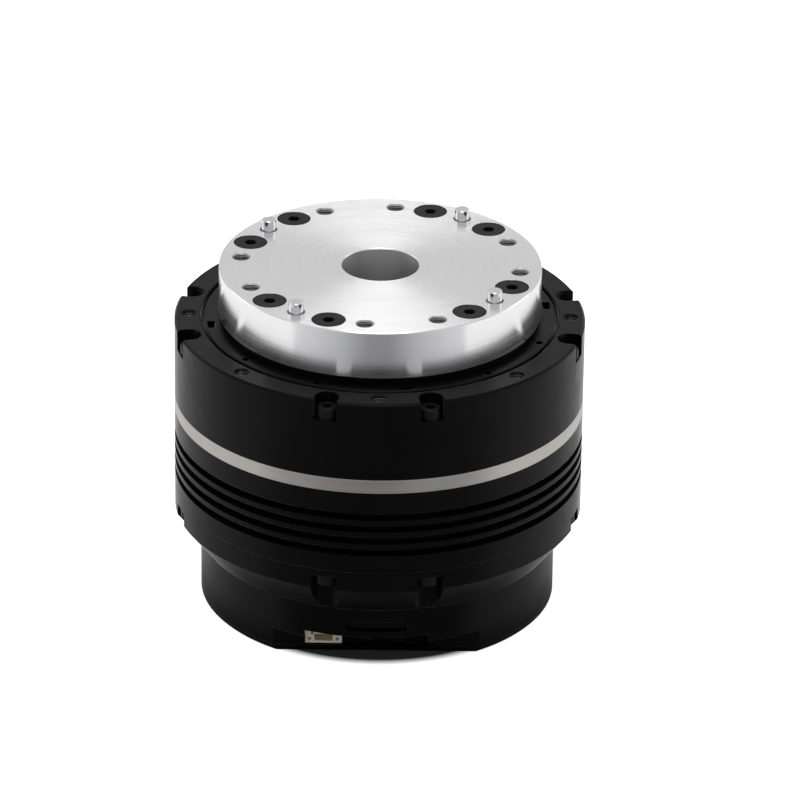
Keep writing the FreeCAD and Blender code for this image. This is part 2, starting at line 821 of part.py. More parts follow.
# ---------------------------------------------------------------- stator
def make_stator_core():
    slot_root_r = stator_r - back_iron_t
    tip_r = stator_bore_r + tooth_tip_t
    half_pitch = 180 / slot_count

    def side_angle(r, half_width):
        return math.degrees(math.asin(half_width / r))

    opening = side_angle(stator_bore_r, slot_opening / 2)
    inner_side = half_pitch - side_angle(tip_r, tooth_w / 2)
    outer_side = half_pitch - side_angle(slot_root_r, tooth_w / 2)
    outline = [
        (stator_bore_r - tooth_tip_t, opening), (tip_r, opening), (tip_r, inner_side),
        (slot_root_r, outer_side)]
    corners = [at(r, a, stator_z) for r, a in outline]
    corners += [at(r, -a, stator_z) for r, a in reversed(outline)]
    slot = Part.Face(Part.makePolygon(corners + corners[:1])).extrude(Vector(0, 0, stack_h))
    core = tube(stator_r, stator_bore_r, stator_z, stator_top)
    return core.cut(around(slot, even_angles(slot_count, half_pitch)))


def rounded_plate(width, height, corner_r, x0, x1):
    """Plate square to X with rounded corners, centred on the X axis."""
    plate = block(x0, x1, -width / 2, width / 2, -height / 2, height / 2)
    along_x = [
        edge for edge in plate.Edges
        if abs(edge.tangentAt(edge.FirstParameter).x) > 0.9]
    return plate.makeFillet(corner_r, along_x)


def make_stator_coils():
    inside_h = stack_h + 2 * coil_insulation
    outer = rounded_plate(coil_w, inside_h + 2 * coil_t, coil_t, coil_inner_r, coil_outer_r)
    half_w = coil_inside_w / 2
    inner = block(coil_inner_r, coil_outer_r, -half_w, half_w, -inside_h / 2, inside_h / 2)
    coil = moved(outer.cut(inner), Vector(0, 0, (stator_z + stator_top) / 2))
    return group(around(coil, even_angles(slot_count)))


# ---------------------------------------------------------------- rotor
def make_rotor_yoke():
    return tube(yoke_r, rotor_hub_r, stator_z, stator_top)


def make_rotor_magnets():
    half = magnet_span * 180 / magnet_count
    magnet = arc_plate(magnet_r, yoke_r, half, stator_z, stator_top)
    return group(around(magnet, even_angles(magnet_count)))


def make_rotor_hub():
    middle = (stator_z + stator_top) / 2
    hub = disc(rotor_hub_r, middle - rotor_web_t / 2, middle + rotor_web_t / 2)
    hub = hub.fuse(disc(rotor_boss_r, middle - rotor_boss_h / 2, middle + rotor_boss_h / 2))
    hub = hub.removeSplitter()
    cuts = [disc(shaft_r, middle - rotor_boss_h / 2, middle + rotor_boss_h / 2)]
    hole_circle = (rotor_boss_r + rotor_hub_r) / 2
    cuts += rods(rotor_hole_r, hole_circle, even_angles(rotor_hole_count),
                 middle - rotor_web_t / 2, middle + rotor_web_t / 2)
    return hub.cut(cuts)


def shaft_top():
    return front_ball_z + ball_bearing_w + part_gap + nose_h


def make_rotor_shaft():
    rear_shoulder = rear_ball_z + ball_bearing_w
    nose_z = front_ball_z + ball_bearing_w + part_gap
    shaft = turned([
        (0, tail_z), (tail_r, tail_z), (tail_r, rear_ball_z),
        (ball_bearing_bore_r, rear_ball_z), (ball_bearing_bore_r, rear_shoulder), (shaft_r, rear_shoulder),
        (shaft_r, front_ball_z), (ball_bearing_bore_r, front_ball_z), (ball_bearing_bore_r, nose_z),
        (nose_r, nose_z), (nose_r, shaft_top()), (0, shaft_top())])
    return shaft.cut(disc(stem_r, shaft_top() - stem_depth, shaft_top()))


# ---------------------------------------------------------------- gears
def involute_point(base_r, r):
    """Angle, in radians, that an involute has turned when it reaches radius r."""
    alpha = math.acos(base_r / r)
    return math.tan(alpha) - alpha


def half_tooth(pitch_r, base_r, teeth, r, thinning):
    """Half the angle of a tooth at radius r, in degrees."""
    at_pitch = math.pi / (2 * teeth) - thinning / pitch_r
    return math.degrees(at_pitch + involute_point(base_r, pitch_r) - involute_point(base_r, r))


def gear_outline(teeth, tip_r, root_r, thinning, z):
    """Closed wire of a gear with a tooth centred on +X. For a ring gear it is the outline of the
    space, with tip_r the larger radius and a negative thinning."""
    pitch_r = gear_module * teeth / 2
    base_r = pitch_r * math.cos(math.radians(pressure_angle))
    start_r = max(root_r, base_r)
    mid_r = (start_r + tip_r) / 2
    low, mid, high = [
        half_tooth(pitch_r, base_r, teeth, r, thinning) for r in (start_r, mid_r, tip_r)]
    pitch = 360 / teeth
    edges = []
    for k in range(teeth):
        c = k * pitch
        foot, top = at(start_r, c - low, z), at(tip_r, c - high, z)
        edges.append(Part.Arc(foot, at(mid_r, c - mid, z), top).toShape())
        far_top, far_foot = at(tip_r, c + high, z), at(start_r, c + low, z)
        edges.append(Part.Arc(top, at(tip_r, c, z), far_top).toShape())
        edges.append(Part.Arc(far_top, at(mid_r, c + mid, z), far_foot).toShape())
        root_a, root_b = at(root_r, c + low, z), at(root_r, c + pitch - low, z)
        next_foot = at(start_r, c + pitch - low, z)
        if start_r > root_r:
            edges.append(Part.makeLine(far_foot, root_a))
        edges.append(Part.Arc(root_a, at(root_r, c + pitch / 2, z), root_b).toShape())
        if start_r > root_r:
            edges.append(Part.makeLine(root_b, next_foot))
    return Part.Wire(edges)


def gear_solid(teeth, tip_r, root_r, thinning, z0, z1):
    return Part.Face(gear_outline(teeth, tip_r, root_r, thinning, z0)).extrude(Vector(0, 0, z1 - z0))


def make_sun_gear():
    """Tooth space on +X when the output is at zero, then turned with the output."""
    teeth = gear_solid(sun_teeth, sun_pitch_r + addendum, sun_pitch_r - dedendum,
                       tooth_thinning, planet_z, planet_top)
    stem = disc(stem_r, shaft_top() - stem_depth, planet_z)
    gear = teeth.fuse(stem)
    gear.rotate(Vector(0, 0, 0), Vector(0, 0, 1), 180 / sun_teeth + rotor_ratio() * output_turn)
    return gear


def rotor_ratio():
    return 1 + ring_teeth / sun_teeth


def make_planet_gear(angle):
    gear = gear_solid(planet_teeth, planet_pitch_r + addendum, planet_pitch_r - dedendum,
                      tooth_thinning, planet_z, planet_top)
    rim_r = planet_pitch_r - dedendum - planet_rim_t
    lower = tube(rim_r, planet_hub_r, planet_z, planet_z + planet_recess)
    upper = tube(rim_r, planet_hub_r, planet_top - planet_recess, planet_top)
    gear = gear.cut([lower, upper, disc(bush_r, planet_z, planet_top)])
    gear.rotate(Vector(0, 0, 0), Vector(0, 0, 1), angle * (1 - ring_teeth / planet_teeth))
    return moved(gear, at(planet_circle_r, angle))


def make_planet_bush(angle):
    return moved(tube(bush_r, bush_bore_r, planet_z, planet_top), at(planet_circle_r, angle))


def make_planet_pins():
    return group(rods(planet_pin_r, planet_circle_r, planet_angles, carrier_z, hub_z + planet_pin_seat))


def make_thrust_washers():
    washers = []
    for angle in planet_angles:
        for z0 in (carrier_top, hub_z - washer_t):
            washer = tube(planet_hub_r, planet_pin_r, z0, z0 + washer_t)
            washers.append(moved(washer, at(planet_circle_r, angle)))
    return group(washers)


def make_ring_gear():
    body = disc(body_r, gear_z, front_z).fuse(disc(bearing_r, front_z, bearing_z)).removeSplitter()
    tip_r = ring_pitch_r - addendum
    spaces = gear_solid(ring_teeth, ring_root_r, tip_r, -tooth_thinning, gear_z, bearing_z)
    relief_r = ring_root_r + gear_relief
    low_z = planet_z - washer_t
    high_z = planet_top + washer_t
    cuts = [spaces, disc(relief_r, gear_z, low_z), disc(relief_r, high_z, bearing_z)]
    cuts += rods(m3_clear_r, screw_circle_r, screw_angles, gear_z, front_z)
    return body.cut(cuts)


def make_rear_carrier():
    plate = disc(carrier_r, carrier_z, carrier_top).cut(disc(carrier_hole_r, carrier_z, carrier_top))
    seat = upside_down(flat_seat(m4_r, m4_head_r, m4_head_h, slip_gap, carrier_t))
    cuts = [moved(seat, at(column_circle_r, a, carrier_z)) for a in column_angles]
    cuts += rods(planet_pin_r, planet_circle_r, planet_angles, carrier_z, carrier_top)
    return plate.cut(cuts)


def make_carrier_screws():
    screw = upside_down(flat_screw(m4_r, carrier_screw_length, m4_head_r, m4_head_h, m4_hex))
    return group([moved(screw, at(column_circle_r, a, carrier_z + slip_gap)) for a in column_angles])


# ---------------------------------------------------------------- output hub
def make_output_hub():
    circlip_groove_r = journal_r - circlip_depth
    floor_top = hub_z + hub_floor_t
    hub = turned([
        (0, hub_z), (journal_r, hub_z), (journal_r, circlip_z), (circlip_groove_r, circlip_z),
        (circlip_groove_r, bearing_z), (journal_r, bearing_z), (journal_r, bearing_top),
        (shoulder_r, bearing_top), (shoulder_r, ring_z), (ring_r, ring_z),
        (ring_r, ring_top - ring_chamfer), (ring_r - ring_chamfer, ring_top), (boss_r, ring_top),
        (boss_r, flange_z), (pocket_r, flange_z), (pocket_r, floor_top), (0, floor_top)])
    columns = rods(column_r, column_circle_r, column_angles, carrier_top, hub_z)
    hub = hub.fuse(columns).removeSplitter()
    screw_tip = flange_top - m5_recess - m5_length - thread_gap
    pin_tip = flange_top + pin_stand - pin_length
    carrier_tap_top = carrier_z + carrier_screw_length + thread_gap
    cuts = rods(m5_r, hole_circle_r, csk_angles, screw_tip, flange_z)
    cuts += rods(pin_r, hole_circle_r, pin_angles, pin_tip, flange_z)
    cuts += rods(planet_pin_r, planet_circle_r, planet_angles, hub_z, hub_z + planet_pin_seat)
    cuts += rods(m4_r, column_circle_r, column_angles, carrier_top, carrier_tap_top)
    slot_angles = even_angles(ring_slot_count, output_turn)
    hole_angles = [a for a in even_angles(ring_hole_count, output_turn) if a not in slot_angles]
    cuts += rods(ring_hole_r, ring_hole_circle_r, hole_angles, ring_z, ring_top)
    slot = arc_plate(ring_hole_circle_r + ring_slot_w / 2, ring_hole_circle_r - ring_slot_w / 2,
                     math.degrees(ring_slot_length / 2 / ring_hole_circle_r), ring_z, ring_top)
    cuts += around(slot, slot_angles)
    return hub.cut(cuts)


def make_bearing_circlip():
    """C-shaped ring that keeps the inner race on the hub."""
    inner_r = journal_r - circlip_depth
    half = 180 - circlip_gap_angle / 2
    points = [(inner_r, circlip_z), (inner_r + circlip_depth + circlip_stand, circlip_z),
              (inner_r + circlip_depth + circlip_stand, bearing_z), (inner_r, bearing_z)]
    corners = [Vector(r, 0, z) for r, z in points]
    face = Part.Face(Part.makePolygon(corners + corners[:1]))
    face.rotate(Vector(0, 0, 0), Vector(0, 0, 1), -half)
    return face.revolve(Vector(0, 0, 0), Vector(0, 0, 1), 2 * half)


# ---------------------------------------------------------------- crossed-roller bearing
def roller_middle_z():
    return (bearing_z + bearing_top) / 2


def v_groove():
    """Ring with a square section on its corner: the two V tracks together."""
    half = (roller_d / 2 + roller_play) * math.sqrt(2)
    z = roller_middle_z()
    return turned([
        (roller_circle_r - half, z), (roller_circle_r, z - half), (roller_circle_r + half, z),
        (roller_circle_r, z + half)])


def make_output_inner_race():
    return tube(race_inner_r, journal_r, bearing_z, bearing_top).cut(v_groove())


def make_output_outer_race():
    """The outer race is split at mid height, so that the rollers can be put in."""
    middle = roller_middle_z()
    race = tube(bearing_r, race_outer_r, bearing_z, bearing_top).cut(v_groove())
    halves = [race.common(disc(body_r, bearing_z, middle)), race.common(disc(body_r, middle, bearing_top))]
    return group([half.Solids[0] for half in halves])


def crossed_rollers(r, length):
    """Rollers tilted alternately inwards and outwards."""
    rollers = []
    for k, angle in enumerate(even_angles(roller_count, output_turn)):
        tilt = 45 if k % 2 else -45
        roller = Part.makeCylinder(r, length, Vector(0, 0, -length / 2))
        turn = Rotation(Vector(0, 0, 1), angle) * Rotation(Vector(0, 1, 0), tilt)
        roller.Placement = Placement(at(roller_circle_r, angle, roller_middle_z()), turn)
        rollers.append(roller)
    return rollers


def make_output_rollers():
    return group(crossed_rollers(roller_d / 2, roller_d - 2 * roller_end_play))


def make_output_cage():
    cage = tube(roller_circle_r + roller_cage_t / 2, roller_circle_r - roller_cage_t / 2,
                bearing_z + roller_cage_inset, bearing_top - roller_cage_inset)
    return cage.cut(crossed_rollers(roller_d / 2 + roller_pocket_gap, roller_d))


# ---------------------------------------------------------------- front housing and seal
def make_front_housing():
    mouth_r = ring_r + mouth_gap
    housing = turned([
        (bearing_r, front_z), (body_r, front_z), (body_r, ring_top - edge_chamfer),
        (body_r - edge_chamfer, ring_top), (mouth_r + mouth_chamfer, ring_top),
        (mouth_r, ring_top - mouth_chamfer), (mouth_r, lip_top),
        (lip_r, lip_top), (lip_r, bearing_top), (bearing_r, bearing_top)])
    notch = edge_notch(notch_w, screw_circle_r + part_gap, 2 * body_r, notch_z, ring_top)
    cuts = around(notch, screw_angles)
    cuts += rods(m3_clear_r, screw_circle_r, screw_angles, front_z, notch_z)
    tapped = chamfered_hole(m4_tap_r, m4_mouth_r, m4_tap_depth)
    cuts += [moved(tapped, at(m4_circle_r, a, ring_top)) for a in even_angles(m4_count)]
    return housing.cut(cuts)


def make_output_seal():
    """Ring in the lip, whose inner edge runs on the hub's shoulder."""
    return tube(lip_r, shoulder_r + running_gap, lip_top - seal_t, lip_top)


def make_front_screws():
    screw = socket_screw(m3_r, front_screw_length, m3_head_r, m3_head_h, m3_hex)
    return group([moved(screw, at(screw_circle_r, a, notch_z)) for a in screw_angles])


# ---------------------------------------------------------------- output flange
def make_output_flange():
    spigot_z = flange_z - spigot_h
    spigot_inner_r = pocket_r - spigot_t
    flange = turned([
        (bore_r, flange_z), (spigot_inner_r, flange_z), (spigot_inner_r, spigot_z),
        (pocket_r, spigot_z), (pocket_r, flange_z), (flange_r - flange_chamfer, flange_z),
        (flange_r, flange_z + flange_chamfer), (flange_r, flange_top - flange_chamfer),
        (flange_r - flange_chamfer, flange_top), (bore_r + flange_chamfer, flange_top),
        (bore_r, flange_top - flange_chamfer)])
    seat = flat_seat(m5_r, m5_head_r, m5_head_h, m5_recess, flange_t)
    pin_hole = chamfered_hole(pin_r, m5_mouth_r, flange_t)
    tapped = chamfered_hole(m5_tap_r, m5_mouth_r, m5_tap_depth)
    cuts = []
    for hole, angles in ((seat, csk_angles), (pin_hole, pin_angles), (tapped, tap_angles)):
        cuts += [moved(hole, at(hole_circle_r, a, flange_top)) for a in angles]
    return flange.cut(cuts)


def make_flange_screws():
    screw = flat_screw(m5_r, m5_length, m5_head_r, m5_head_h, m5_hex)
    return group([moved(screw, at(hole_circle_r, a, flange_top - m5_recess)) for a in csk_angles])


def make_dowel_pins():
    bevel = pin_r / 10
    pin = turned([
        (0, 0), (pin_r - bevel, 0), (pin_r, bevel), (pin_r, pin_length - bevel),
        (pin_r - bevel, pin_length), (0, pin_length)])
    pin_z = flange_top + pin_stand - pin_length
    return group([moved(pin, at(hole_circle_r, a, pin_z)) for a in pin_angles])


# ---------------------------------------------------------------- all the pieces
parts["rear_lid"] = make_rear_lid()
parts["lid_screws"] = make_lid_screws()
parts["rear_cover"] = make_rear_cover()
parts["cover_screws"] = make_cover_screws()
parts["indicator_window"] = make_indicator_window()
parts["driver_board"] = make_driver_board()
parts["board_screws"] = make_board_screws()
parts["power_transistors"] = make_power_transistors()
parts["capacitors"] = make_capacitors()
parts["board_chips"] = group([chip(controller_size, 0, controller_y), chip(encoder_chip_size, 0, 0)])
parts["signal_connector"] = make_signal_connector()
parts["signal_pins"] = make_signal_pins()
parts["power_connector"] = make_power_connector()
parts["power_contacts"] = make_power_contacts()
parts["encoder_magnet"] = make_encoder_magnet()
parts["magnet_holder"] = make_magnet_holder()
parts["end_bell"] = make_end_bell()
parts["end_bell_screws"] = make_end_bell_screws()
parts["phase_leads"] = make_phase_leads()
parts["lead_grommets"] = make_lead_grommets()
add_ball_bearing("rear_bearing", rear_ball_z)
add_ball_bearing("front_bearing", front_ball_z)
parts["preload_washer"] = make_preload_washer()
parts["motor_housing"] = make_motor_housing()
parts["stator_core"] = make_stator_core()
parts["stator_coils"] = make_stator_coils()
parts["rotor_yoke"] = make_rotor_yoke()
parts["rotor_magnets"] = make_rotor_magnets()
parts["rotor_hub"] = make_rotor_hub()
parts["rotor_shaft"] = make_rotor_shaft()
parts["sun_gear"] = make_sun_gear()
for number, planet_angle in enumerate(planet_angles, 1):
    parts[f"planet_gear_{number}"] = make_planet_gear(planet_angle)
    parts[f"planet_bush_{number}"] = make_planet_bush(planet_angle)
parts["planet_pins"] = make_planet_pins()
parts["thrust_washers"] = make_thrust_washers()
parts["ring_gear"] = make_ring_gear()
parts["rear_carrier"] = make_rear_carrier()
parts["carrier_screws"] = make_carrier_screws()
parts["output_hub"] = make_output_hub()
parts["bearing_circlip"] = make_bearing_circlip()
parts["output_inner_race"] = make_output_inner_race()
parts["output_outer_race"] = make_output_outer_race()
parts["output_rollers"] = make_output_rollers()
parts["output_cage"] = make_output_cage()
parts["output_seal"] = make_output_seal()
parts["front_housing"] = make_front_housing()
parts["front_screws"] = make_front_screws()
parts["output_flange"] = make_output_flange()
parts["flange_screws"] = make_flange_screws()
parts["dowel_pins"] = make_dowel_pins()

os.makedirs("parts", exist_ok=True)
for name, shape in parts.items():
    shape.exportStep(f"parts/{name}.step")
print(f"{len(parts)} nodes, height {flange_top + pin_stand:.2f} mm")
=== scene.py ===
import math
import bpy
from mathutils import Matrix, Vector
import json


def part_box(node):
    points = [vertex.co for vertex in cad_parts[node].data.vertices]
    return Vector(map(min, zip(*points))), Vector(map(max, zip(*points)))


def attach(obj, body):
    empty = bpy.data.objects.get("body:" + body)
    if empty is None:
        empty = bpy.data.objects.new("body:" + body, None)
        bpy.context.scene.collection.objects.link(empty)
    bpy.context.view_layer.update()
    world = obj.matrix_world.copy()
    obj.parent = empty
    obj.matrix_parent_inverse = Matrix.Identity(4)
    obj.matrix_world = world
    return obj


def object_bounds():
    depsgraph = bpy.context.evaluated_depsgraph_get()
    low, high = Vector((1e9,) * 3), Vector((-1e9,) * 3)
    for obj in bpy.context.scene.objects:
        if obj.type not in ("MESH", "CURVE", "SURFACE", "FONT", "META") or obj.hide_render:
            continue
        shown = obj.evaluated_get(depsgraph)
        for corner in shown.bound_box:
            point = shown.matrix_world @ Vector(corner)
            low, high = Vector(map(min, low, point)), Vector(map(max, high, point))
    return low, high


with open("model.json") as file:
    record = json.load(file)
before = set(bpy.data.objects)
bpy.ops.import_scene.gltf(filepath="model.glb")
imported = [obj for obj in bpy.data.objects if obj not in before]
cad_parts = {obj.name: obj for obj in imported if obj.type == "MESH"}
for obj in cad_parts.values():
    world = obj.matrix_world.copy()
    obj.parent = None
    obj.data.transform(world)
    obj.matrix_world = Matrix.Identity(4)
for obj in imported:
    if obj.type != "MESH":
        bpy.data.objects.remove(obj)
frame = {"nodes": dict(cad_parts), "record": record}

cad_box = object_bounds()
scene = bpy.context.scene
scene.view_settings.view_transform = "Standard"

# ------------------------------------------------------------------ sizes, in metres, from the frame
mm = 0.001
mounts = {mount["name"]: mount for mount in frame["record"]["mounts"]}


def hole_circle(mount):
    return mounts[mount]["dims"]["pcd_mm"] * mm / 2


def face_height(mount):
    return mounts[mount]["pos_m"][2]


bore_r = mounts["output_bore"]["dims"]["r_mm"] * mm
flange_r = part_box("output_flange")[1][0]
cover_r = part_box("rear_cover")[1][0]
flange_top = face_height("output_face")
rim_top = face_height("housing_rim")
output_turn = 9              # angle of the output at rest, as the solids have it


# ------------------------------------------------------------------ material helpers
class Shader:
    """One material: a Principled shader, and short ways to make the nodes that feed it."""

    def __init__(self, name, **sockets):
        self.material = bpy.data.materials.new(name)
        self.material.use_nodes = True
        self.tree = self.material.node_tree
        self.bsdf = self.tree.nodes["Principled BSDF"]
        for key, value in sockets.items():
            self.bsdf.inputs[key.replace("_", " ")].default_value = value
        self.coords = self.node("ShaderNodeTexCoord").outputs["Object"]

    def node(self, kind, **settings):
        made = self.tree.nodes.new(kind)
        for key, value in settings.items():
            setattr(made, key, value)
        return made

    def link(self, output, socket):
        self.tree.links.new(output, socket)

    def math(self, operation, *values):
        made = self.node("ShaderNodeMath", operation=operation)
        for socket, value in zip(made.inputs, values):
            if isinstance(value, (int, float)):
                socket.default_value = value
            else:
                self.link(value, socket)
        return made.outputs[0]

    def noise(self, scale, detail, vector=None):
        made = self.node("ShaderNodeTexNoise")
        made.inputs["Scale"].default_value = scale
        made.inputs["Detail"].default_value = detail
        made.inputs["Roughness"].default_value = 0.55
        self.link(vector or self.coords, made.inputs["Vector"])
        return made.outputs["Fac"]

    def bands(self, scale, distortion=0.0):
        """Waves along Z."""
        made = self.node("ShaderNodeTexWave", bands_direction="Z")
        made.inputs["Scale"].default_value = scale
        made.inputs["Distortion"].default_value = distortion
        self.link(self.coords, made.inputs["Vector"])
        return made.outputs["Fac"]

    def axes(self):
        """Place on the surface, as its X, Y and Z."""
        parts = self.node("ShaderNodeSeparateXYZ")
        self.link(self.coords, parts.inputs[0])
        return parts.outputs

    def radius(self):
        """Distance from the object's axis."""
        axes = self.axes()
        squares = self.math("ADD", self.math("POWER", axes["X"], 2.0), self.math("POWER", axes["Y"], 2.0))
        return self.math("SQRT", squares)

    def rings(self, scale, detail):
        """Noise that changes along the radius and along Z, as a lathe leaves it."""
        joined = self.node("ShaderNodeCombineXYZ")
        self.link(self.radius(), joined.inputs[0])
        self.link(self.axes()["Z"], joined.inputs[1])
        return self.noise(scale, detail, joined.outputs[0])

    def span(self, value, low, high, start=0.3, end=0.7):
        """Runs from low to high while value runs from start to end; most of a noise is from 0.3 to 0.7."""
        made = self.node("ShaderNodeMapRange")
        for key, number in (("From Min", start), ("From Max", end), ("To Min", low), ("To Max", high)):
            made.inputs[key].default_value = number
        self.link(value, made.inputs["Value"])
        return made.outputs["Result"]

    def blend(self, value, dark, light):
        ramp = self.node("ShaderNodeValToRGB")
        for element, colour, place in zip(ramp.color_ramp.elements, (dark, light), (0.3, 0.7)):
            element.color = (*colour, 1)
            element.position = place
        self.link(value, ramp.inputs[0])
        return ramp.outputs[0]

    def scaled(self, colour, factor):
        """Colour times a number that varies over the surface."""
        made = self.node("ShaderNodeVectorMath", operation="SCALE")
        self.link(colour, made.inputs[0])
        self.link(factor, made.inputs["Scale"])
        return made.outputs[0]

    def colour(self, value, dark, light, factor=None):
        mixed = self.blend(value, dark, light)
        self.link(self.scaled(mixed, factor) if factor else mixed, self.bsdf.inputs["Base Color"])

    def rough(self, value, low, high):
        self.link(self.span(value, low, high), self.bsdf.inputs["Roughness"])

    def edges(self, radius):
        """Normals as if every edge were rounded by this radius."""
        made = self.node("ShaderNodeBevel", samples=4)
        made.inputs["Radius"].default_value = radius
        return made.outputs[0]

    def bump(self, *layers, edge=None):
        """layers are (height, strength, distance in metres)."""
        normal = self.edges(edge) if edge else None
        for value, strength, distance in layers:
            made = self.node("ShaderNodeBump")
            made.inputs["Strength"].default_value = strength
            made.inputs["Distance"].default_value = distance
            self.link(value, made.inputs["Height"])
            if normal:
                self.link(normal, made.inputs["Normal"])
            normal = made.outputs[0]
        self.link(normal, self.bsdf.inputs["Normal"])

    def turned_grain(self):
        """Stretches the highlight across the lathe's marks."""
        made = self.node("ShaderNodeTangent", direction_type="RADIAL", axis="Z")
        self.link(made.outputs[0], self.bsdf.inputs["Tangent"])


# what several finishes share: scales of the noises, and lengths
cloud_scale = 55
surface_scale = 2600
fine_depth = 0.01 * mm
grain_depth = 0.02 * mm
edge_r = 0.15 * mm


def anodised(name, dark, light, roughness, specular=0.075, sheen=0.55):
    s = Shader(name, Specular_IOR_Level=specular, Sheen_Weight=sheen, Sheen_Roughness=0.16)
    s.colour(s.noise(60, 5), dark, light)
    s.rough(s.noise(180, 4), *roughness)
    s.bump((s.noise(5200, 2), 0.12, grain_depth), (s.rings(surface_scale, 2), 0.05, grain_depth),
           edge=0.18 * mm)
    return s.material


def metal(name, dark, light, roughness, grain=0.0, turned=True, marks=0.1, extra=None):
    """grain stretches the highlight, marks is how deep tool marks look, and extra adds to the roughness."""
    s = Shader(name, Metallic=1.0, Anisotropic=grain, Anisotropic_Rotation=0.25 if grain else 0.0)
    pattern = s.rings(2200, 4) if turned else s.noise(420, 4)
    s.colour(s.math("MULTIPLY", s.math("ADD", pattern, s.noise(cloud_scale, 3)), 0.5), dark, light)
    rough = s.span(pattern, *roughness)
    s.link(s.math("ADD", rough, extra(s)) if extra else rough, s.bsdf.inputs["Roughness"])
    s.bump((pattern, marks, fine_depth), (s.noise(surface_scale, 2), 0.04, fine_depth), edge=edge_r)
    if grain:
        s.turned_grain()
    return s.material


def bore_and_side(s):
    """Rougher in the flange's bore, and smoother on its outer side."""
    radius = s.radius()
    bore = s.span(radius, 0.12, 0.0, bore_r, bore_r + 0.5 * mm)
    side = s.span(radius, 0.0, -0.03, flange_r - 0.6 * mm, flange_r - 0.2 * mm)
    return s.math("ADD", bore, side)


def plastic(name, dark, light, roughness, specular=0.5, grain=0.1):
    s = Shader(name, Specular_IOR_Level=specular)
    s.colour(s.noise(90, 4), dark, light)
    s.rough(s.noise(400, 3), *roughness)
    s.bump((s.noise(3800, 2), grain, grain_depth), edge=edge_r)
    return s.material


def board_material():
    s = Shader("board_look", Specular_IOR_Level=0.5)
    s.colour(s.noise(260, 1), (0.004, 0.035, 0.016), (0.008, 0.06, 0.026))
    s.rough(s.noise(700, 3), 0.28, 0.42)
    s.bump((s.noise(1500, 1), 0.15, 0.03 * mm), edge=0.1 * mm)
    return s.material


def copper_material():
    s = Shader("copper_look", Metallic=0.85)
    s.colour(s.noise(300, 3), (0.55, 0.19, 0.06), (0.72, 0.30, 0.11))
    s.rough(s.noise(900, 2), 0.22, 0.38)
    s.bump((s.bands(420, 0.6), 0.6, 0.2 * mm))
    return s.material


def lamination_material():
    s = Shader("lamination_look", Metallic=0.9)
    s.colour(s.noise(240, 4), (0.16, 0.16, 0.17), (0.27, 0.27, 0.28))
    s.rough(s.noise(500, 2), 0.42, 0.6)
    s.bump((s.bands(620), 0.4, 0.1 * mm))
    return s.material


finishes = {
    "black_anodised": anodised("black_anodised_look", (0.0012, 0.0012, 0.0013), (0.0022, 0.0022, 0.0024),
                               (0.30, 0.38)),
    "turned_aluminium": metal("turned_aluminium_look", (0.77, 0.77, 0.775), (0.83, 0.83, 0.835), (0.18, 0.26),
                              grain=0.8, marks=0.05, extra=bore_and_side),
    "inner_aluminium": metal("inner_aluminium_look", (0.66, 0.66, 0.67), (0.80, 0.80, 0.81), (0.3, 0.42),
                             grain=0.4),
    "band_steel": metal("band_steel_look", (0.34, 0.325, 0.30), (0.48, 0.465, 0.435), (0.34, 0.5),
                        grain=0.6, marks=0.2),
    "gear_steel": metal("gear_steel_look", (0.30, 0.30, 0.31), (0.42, 0.42, 0.43), (0.28, 0.42),
                        turned=False),
    "bearing_steel": metal("bearing_steel_look", (0.56, 0.56, 0.57), (0.70, 0.70, 0.71), (0.12, 0.22), 0.4),
    "pin_steel": metal("pin_steel_look", (0.62, 0.62, 0.63), (0.76, 0.76, 0.77), (0.1, 0.18), turned=False),
    "black_screw": anodised("black_screw_look", (0.006, 0.006, 0.0065), (0.011, 0.011, 0.0115), (0.3, 0.42),
                            specular=0.08, sheen=0.0),
    "ivory_plastic": plastic("ivory_plastic_look", (0.72, 0.66, 0.52), (0.80, 0.75, 0.62), (0.38, 0.5)),
    "black_plastic": plastic("black_plastic_look", (0.001, 0.001, 0.0011), (0.002, 0.002, 0.0021),
                             (0.36, 0.5), 0.08),
    "smoked_plastic": plastic("smoked_plastic_look", (0.001, 0.001, 0.0012), (0.002, 0.002, 0.0022),
                              (0.14, 0.22), 0.12),
    "board": board_material(),
    "chip": plastic("chip_look", (0.010, 0.010, 0.011), (0.018, 0.018, 0.019), (0.45, 0.6)),
    "capacitor": metal("capacitor_look", (0.55, 0.56, 0.58), (0.66, 0.67, 0.69), (0.25, 0.36), turned=False),
    "contact": metal("contact_look", (0.80, 0.60, 0.24), (0.90, 0.71, 0.34), (0.18, 0.3), turned=False),
    "rubber": plastic("rubber_look", (0.008, 0.008, 0.008), (0.014, 0.014, 0.014), (0.6, 0.75), 0.35, 0.3),
    "lead": plastic("lead_look", (0.30, 0.012, 0.010), (0.40, 0.02, 0.016), (0.42, 0.55)),
    "lamination": lamination_material(),
    "copper": copper_material(),
    "magnet": metal("magnet_look", (0.34, 0.34, 0.36), (0.46, 0.46, 0.48), (0.24, 0.36), turned=False),
    "bronze": metal("bronze_look", (0.42, 0.26, 0.11), (0.56, 0.36, 0.17), (0.3, 0.45)),
    "cage": metal("cage_look", (0.50, 0.36, 0.16), (0.64, 0.48, 0.24), (0.3, 0.42)),
}

for node in frame["nodes"].values():
    for place in node.material_slots:
        slot_name = place.material.name.split(".")[0]
        if slot_name not in finishes:
            raise ValueError("no finish for " + slot_name)
        place.material = finishes[slot_name]

# ------------------------------------------------------------------ linings of the output's and rim's holes
steps = 28                   # around each hole
lining_gap = 0.01 * mm       # linings stand off the holes' walls


def new_mesh(name, corners, faces, material):
    mesh = bpy.data.meshes.new(name)
    mesh.from_pydata(corners, [], faces)
    made = bpy.data.objects.new(name, mesh)
    made.data.materials.append(material)
    scene.collection.objects.link(made)
    return made


